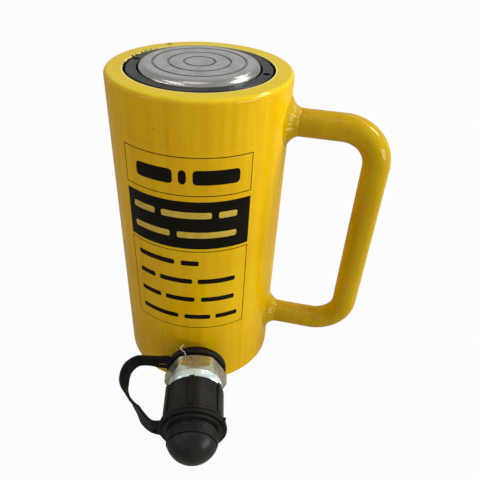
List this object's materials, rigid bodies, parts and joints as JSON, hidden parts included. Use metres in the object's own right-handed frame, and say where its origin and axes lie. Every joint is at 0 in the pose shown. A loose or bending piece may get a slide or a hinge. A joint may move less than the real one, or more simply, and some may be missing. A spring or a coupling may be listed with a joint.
{
  "type": "single acting hydraulic cylinder",
  "caption": "Short jacking cylinder with a spring returned plunger, grooved saddle, bent bar handle and capped oil coupler at the foot.",
  "frame": {"origin": "centre of the base's underside, on the body's axis", "axes": "+Z along the body's axis, the way the plunger rises; +X towards the handle; the oil port points 77 degrees clockwise from +X, seen from above"},
  "size_m": [0.1237, 0.1339, 0.155],
  "materials": {
    "yellow_paint": "gloss enamel",
    "black_oxide": "blackened steel",
    "turned_steel": "bright turned",
    "plated_rod": "hard plated and ground",
    "machined_steel": "machined",
    "spring_steel": "oiled wire",
    "bronze": "plain",
    "yellow_zinc": "yellowish zinc plate",
    "bright_zinc": "bright zinc plate",
    "black_plastic": "moulded, satin",
    "black_rubber": "moulded, matt",
    "seal_rubber": "moulded",
    "hard_plastic": "turned"
  },
  "bodies": {
    "cylinder": {"cylinder_body": "yellow_paint", "handle": "yellow_paint", "handle_weld_upper": "yellow_paint", "handle_weld_lower": "yellow_paint", "gland_ring": "black_oxide", "wiper_seal": "seal_rubber", "rod_bearing": "bronze", "lower_spring_plug": "machined_steel", "return_spring": "spring_steel", "coupler_adapter": "yellow_zinc", "coupler_nose": "bright_zinc", "coupler_o_ring": "seal_rubber", "poppet_guide": "machined_steel", "poppet_spring": "spring_steel", "dust_cap_strap": "black_rubber"},
    "ram": {"plunger": "plated_rod", "upper_spring_plug": "machined_steel", "piston_seal": "seal_rubber", "backup_ring": "hard_plastic", "piston_bearing": "bronze"},
    "load_saddle": {"saddle": "turned_steel", "saddle_clip": "spring_steel"},
    "valve": {"poppet": "machined_steel", "poppet_seal": "seal_rubber"},
    "cap": {"dust_cap": "black_plastic", "cap_seal": "seal_rubber"}
  },
  "joints": [
    {"name": "plunger_slide", "type": "slide", "parent": "cylinder", "child": "ram", "axis": [0, 0, 1], "range_m": [0, 0.1], "stiffness_N_per_m": 10000, "springref_m": -0.03, "deforming": ["return_spring"]},
    {"name": "saddle_swivel", "type": "hinge", "parent": "ram", "child": "load_saddle", "pos_m": [0, 0, 0.149], "axis": [0, 0, 1], "continuous": true},
    {"name": "poppet_slide", "type": "slide", "parent": "cylinder", "child": "valve", "axis": [-0.225, 0.9744, 0], "range_m": [0, 0.0035], "stiffness_N_per_m": 1500, "springref_m": -0.004, "deforming": ["poppet_spring"]},
    {"name": "dust_cap_pull", "type": "slide", "parent": "cylinder", "child": "cap", "axis": [0.225, -0.9744, 0], "range_m": [0, 0.025], "deforming": ["dust_cap_strap"]}
  ]
}
